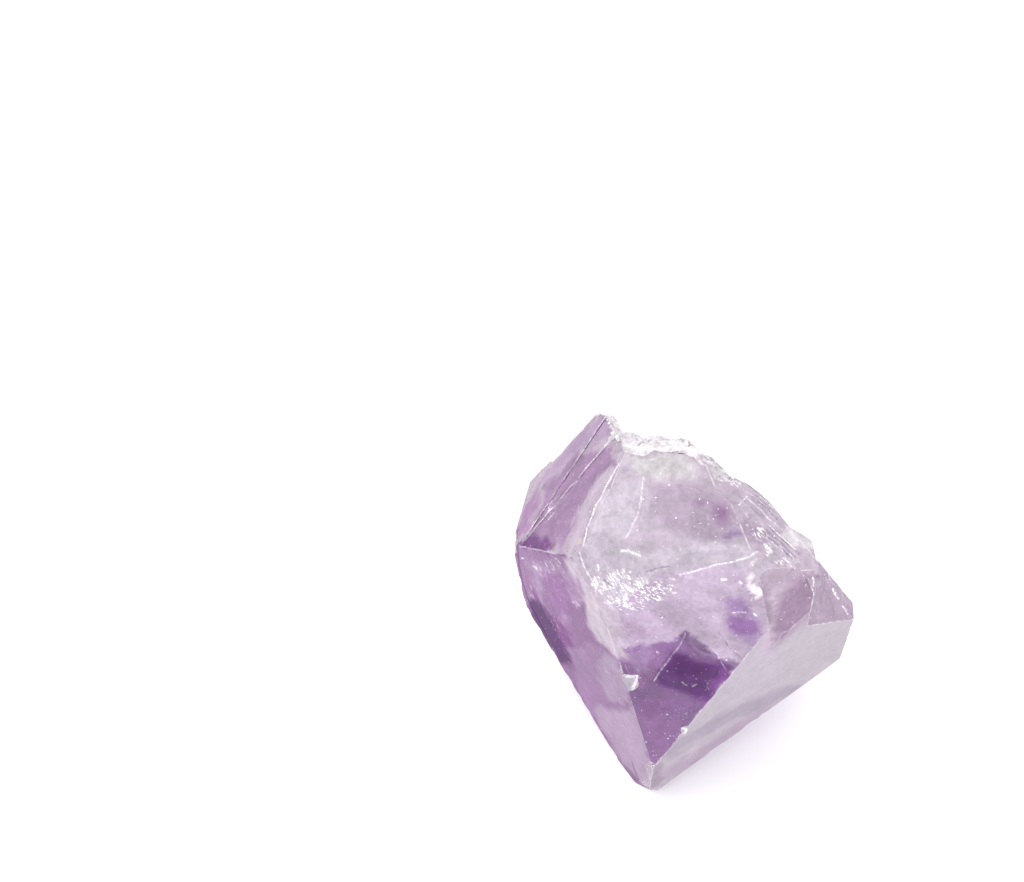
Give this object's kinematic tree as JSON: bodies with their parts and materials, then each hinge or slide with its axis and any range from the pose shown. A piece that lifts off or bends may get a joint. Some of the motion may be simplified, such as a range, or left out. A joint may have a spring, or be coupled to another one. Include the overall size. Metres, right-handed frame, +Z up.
{
  "type": "amethyst point",
  "caption": "Broken-off tip of a quartz crystal in clear violet to milky amethyst, with flat pyramid faces, stepped ledges and a crumbly snapped root, lying on one face.",
  "frame": {"origin": "middle of the crystal's outline seen from above, on the surface it lies on", "axes": "+Z up; the tip points forward and down, mostly to -Y; +Y to the snapped root; +X to the viewer's right"},
  "size_m": [0.0378, 0.0376, 0.0445],
  "materials": {
    "amethyst": "clear natural faces with milky, cracked and crumbly parts"
  },
  "bodies": {
    "root": {"amethyst_point": "amethyst"}
  },
  "joints": []
}
